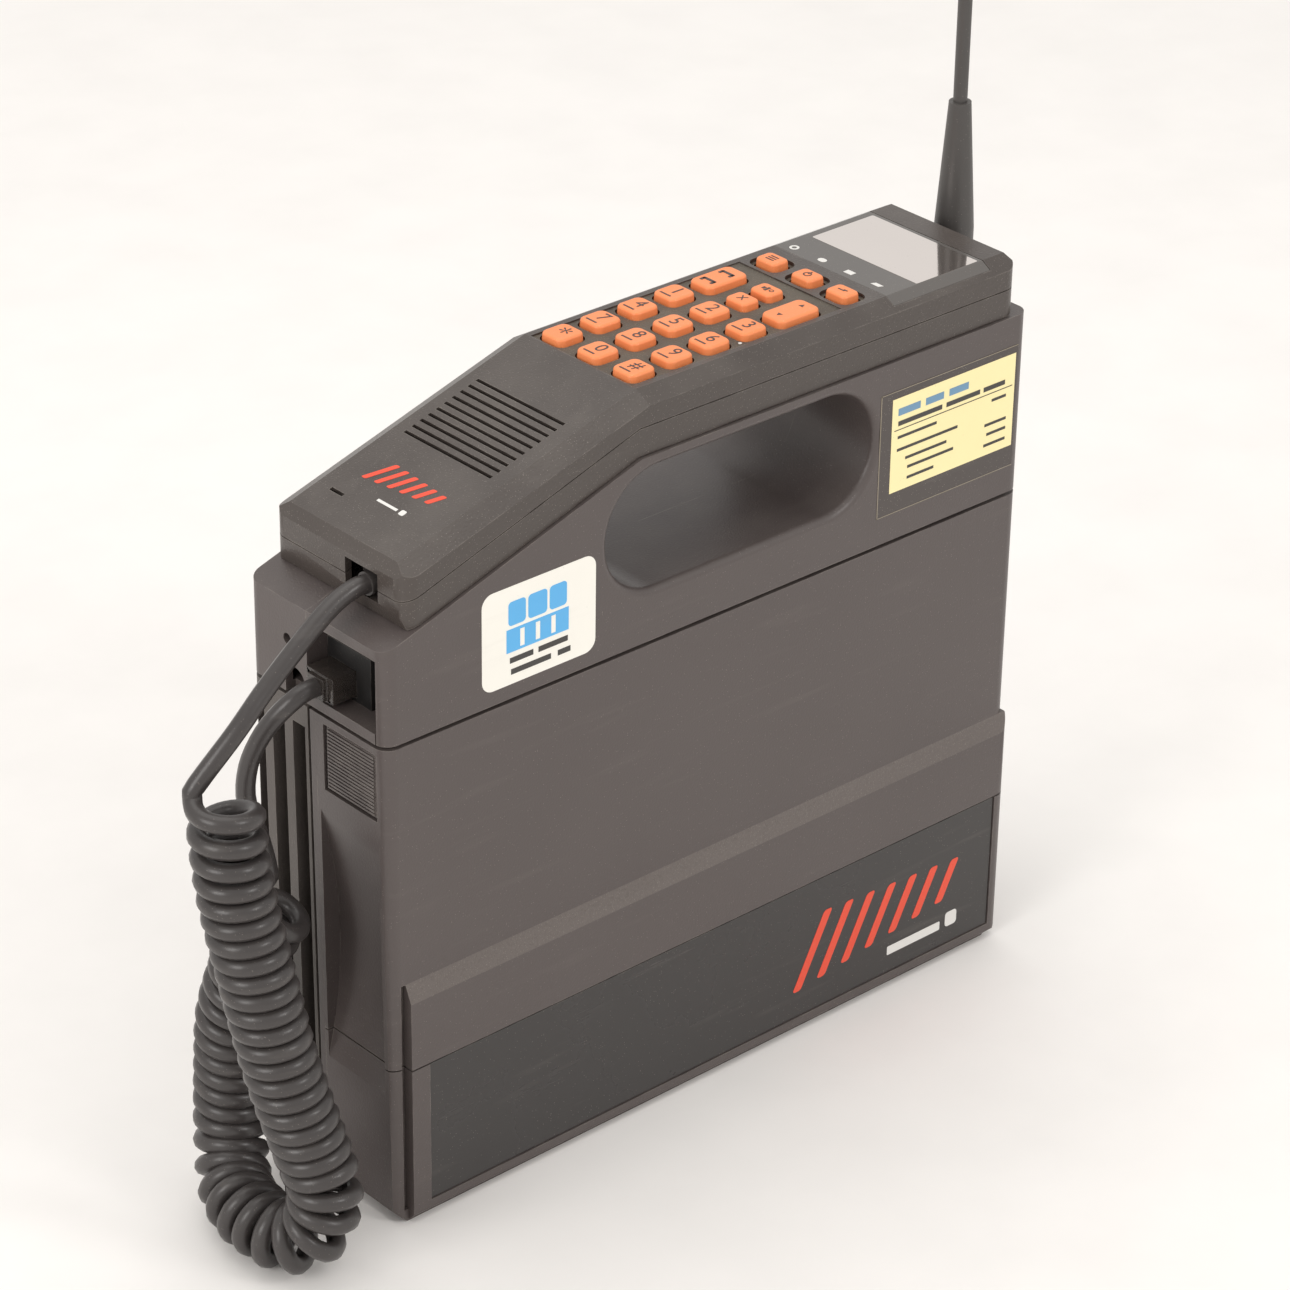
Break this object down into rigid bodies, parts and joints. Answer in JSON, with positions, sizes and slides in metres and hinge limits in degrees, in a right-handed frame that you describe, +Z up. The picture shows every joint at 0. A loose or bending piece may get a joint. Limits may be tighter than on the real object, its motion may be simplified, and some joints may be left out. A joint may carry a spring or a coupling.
{
  "type": "mobile telephone",
  "caption": "Early transportable mobile telephone: keypad handset on a curly cord, lying on a flat carrying body with a hand opening, battery pack and whip antenna.",
  "frame": {"origin": "middle of the flat underside of the carrying body, on its length and thickness", "axes": "+X towards the antenna end, -Y towards the label side, +Z up"},
  "size_m": [0.3156, 0.0769, 0.3689],
  "materials": {
    "grey_plastic": "moulded warm grey plastic with a fine grain",
    "handset_plastic": "moulded grey-brown plastic with a fine speckle",
    "smooth_panel": "smooth dark panel",
    "orange_keys": "orange key caps",
    "window_plastic": "glossy display cover",
    "display_glass": "pale liquid crystal glass",
    "clear_plastic": "smoky see-through plastic",
    "black_plastic": "black plastic",
    "cord_rubber": "dark grey cord jacket",
    "antenna_rubber": "dark rubber",
    "cast_case": "painted cast aluminium",
    "tinplate": "tinned sheet metal",
    "steel": "zinc plated steel",
    "brass_contacts": "plated brass",
    "copper": "copper coaxial lead",
    "circuit_board": "green circuit board",
    "cell_jacket": "sleeved battery cells",
    "speaker_cone": "paper speaker with a metal frame"
  },
  "bodies": {
    "base": {"upper_front_housing": "grey_plastic", "upper_rear_housing": "grey_plastic", "interface_board": "circuit_board", "jack_socket": "black_plastic", "housing_screws": "steel", "antenna_connector": "steel", "antenna_feed": "copper", "heatsink_case": "cast_case", "shield_lid": "tinplate", "lid_screws": "steel", "radio_board": "circuit_board", "duplex_filter": "tinplate", "power_contacts": "brass_contacts", "modular_plug": "clear_plastic", "cord_plug_lead": "cord_rubber", "cord_plug_coil": "cord_rubber", "cord_handset_coil": "cord_rubber", "cord_handset_lead": "cord_rubber"},
    "battery_pack": {"battery_front_shell": "grey_plastic", "battery_lower_cover": "grey_plastic", "battery_back_plate": "grey_plastic", "battery_cells": "cell_jacket", "battery_terminals": "brass_contacts", "label_panel": "smooth_panel", "release_spring": "steel"},
    "release_button": {"release_button": "grey_plastic"},
    "handset": {"handset_top_shell": "handset_plastic", "handset_bottom_shell": "handset_plastic", "handset_screws": "steel", "keypad_board": "circuit_board", "display_window": "window_plastic", "lcd_module": "display_glass", "earpiece": "tinplate", "mouthpiece": "tinplate", "hands_free_mic": "tinplate", "loudspeaker": "speaker_cone", "cord_grommet": "cord_rubber"},
    "antenna": {"antenna_elbow": "black_plastic", "antenna_boot": "antenna_rubber", "antenna_whip": "antenna_rubber"},
    "key_star": {"key_star": "orange_keys"},
    "key_0": {"key_0": "orange_keys"},
    "key_hash": {"key_hash": "orange_keys"},
    "key_1": {"key_1": "orange_keys"},
    "key_2": {"key_2": "orange_keys"},
    "key_3": {"key_3": "orange_keys"},
    "key_4": {"key_4": "orange_keys"},
    "key_5": {"key_5": "orange_keys"},
    "key_6": {"key_6": "orange_keys"},
    "key_7": {"key_7": "orange_keys"},
    "key_8": {"key_8": "orange_keys"},
    "key_9": {"key_9": "orange_keys"},
    "key_call": {"key_call": "orange_keys"},
    "key_clear": {"key_clear": "orange_keys"},
    "key_hands_free": {"key_hands_free": "orange_keys"},
    "key_arrows": {"key_arrows": "orange_keys"},
    "key_memory": {"key_memory": "orange_keys"},
    "key_power": {"key_power": "orange_keys"},
    "key_send": {"key_send": "orange_keys"}
  },
  "joints": [
    {"name": "handset_lift", "type": "slide", "parent": "base", "child": "handset", "axis": [0, 0, 1], "range_m": [0, 0.06]},
    {"name": "battery_slide", "type": "slide", "parent": "base", "child": "battery_pack", "axis": [0, -1, 0], "range_m": [0, 0.045]},
    {"name": "release_press", "type": "slide", "parent": "battery_pack", "child": "release_button", "axis": [1, 0, 0], "range_m": [0, 0.003], "stiffness_N_per_m": 900, "deforming": ["release_spring"]},
    {"name": "antenna_swing", "type": "hinge", "parent": "base", "child": "antenna", "pos_m": [0.1245, 0.011, 0.197], "axis": [1, 0, 0], "range_deg": [-90, 90]},
    {"name": "press_star", "type": "slide", "parent": "handset", "child": "key_star", "axis": [0, 0, -1], "range_m": [0, 0.0012], "stiffness_N_per_m": 600},
    {"name": "press_0", "type": "slide", "parent": "handset", "child": "key_0", "axis": [0, 0, -1], "range_m": [0, 0.0012], "stiffness_N_per_m": 600},
    {"name": "press_hash", "type": "slide", "parent": "handset", "child": "key_hash", "axis": [0, 0, -1], "range_m": [0, 0.0012], "stiffness_N_per_m": 600},
    {"name": "press_1", "type": "slide", "parent": "handset", "child": "key_1", "axis": [0, 0, -1], "range_m": [0, 0.0012], "stiffness_N_per_m": 600},
    {"name": "press_2", "type": "slide", "parent": "handset", "child": "key_2", "axis": [0, 0, -1], "range_m": [0, 0.0012], "stiffness_N_per_m": 600},
    {"name": "press_3", "type": "slide", "parent": "handset", "child": "key_3", "axis": [0, 0, -1], "range_m": [0, 0.0012], "stiffness_N_per_m": 600},
    {"name": "press_4", "type": "slide", "parent": "handset", "child": "key_4", "axis": [0, 0, -1], "range_m": [0, 0.0012], "stiffness_N_per_m": 600},
    {"name": "press_5", "type": "slide", "parent": "handset", "child": "key_5", "axis": [0, 0, -1], "range_m": [0, 0.0012], "stiffness_N_per_m": 600},
    {"name": "press_6", "type": "slide", "parent": "handset", "child": "key_6", "axis": [0, 0, -1], "range_m": [0, 0.0012], "stiffness_N_per_m": 600},
    {"name": "press_7", "type": "slide", "parent": "handset", "child": "key_7", "axis": [0, 0, -1], "range_m": [0, 0.0012], "stiffness_N_per_m": 600},
    {"name": "press_8", "type": "slide", "parent": "handset", "child": "key_8", "axis": [0, 0, -1], "range_m": [0, 0.0012], "stiffness_N_per_m": 600},
    {"name": "press_9", "type": "slide", "parent": "handset", "child": "key_9", "axis": [0, 0, -1], "range_m": [0, 0.0012], "stiffness_N_per_m": 600},
    {"name": "press_call", "type": "slide", "parent": "handset", "child": "key_call", "axis": [0, 0, -1], "range_m": [0, 0.0012], "stiffness_N_per_m": 600},
    {"name": "press_clear", "type": "slide", "parent": "handset", "child": "key_clear", "axis": [0, 0, -1], "range_m": [0, 0.0012], "stiffness_N_per_m": 600},
    {"name": "press_hands_free", "type": "slide", "parent": "handset", "child": "key_hands_free", "axis": [0, 0, -1], "range_m": [0, 0.0012], "stiffness_N_per_m": 600},
    {"name": "press_arrows", "type": "slide", "parent": "handset", "child": "key_arrows", "axis": [0, 0, -1], "range_m": [0, 0.0012], "stiffness_N_per_m": 600},
    {"name": "press_memory", "type": "slide", "parent": "handset", "child": "key_memory", "axis": [0, 0, -1], "range_m": [0, 0.0012], "stiffness_N_per_m": 600},
    {"name": "press_power", "type": "slide", "parent": "handset", "child": "key_power", "axis": [0, 0, -1], "range_m": [0, 0.0012], "stiffness_N_per_m": 600},
    {"name": "press_send", "type": "slide", "parent": "handset", "child": "key_send", "axis": [0, 0, -1], "range_m": [0, 0.0012], "stiffness_N_per_m": 600}
  ]
}
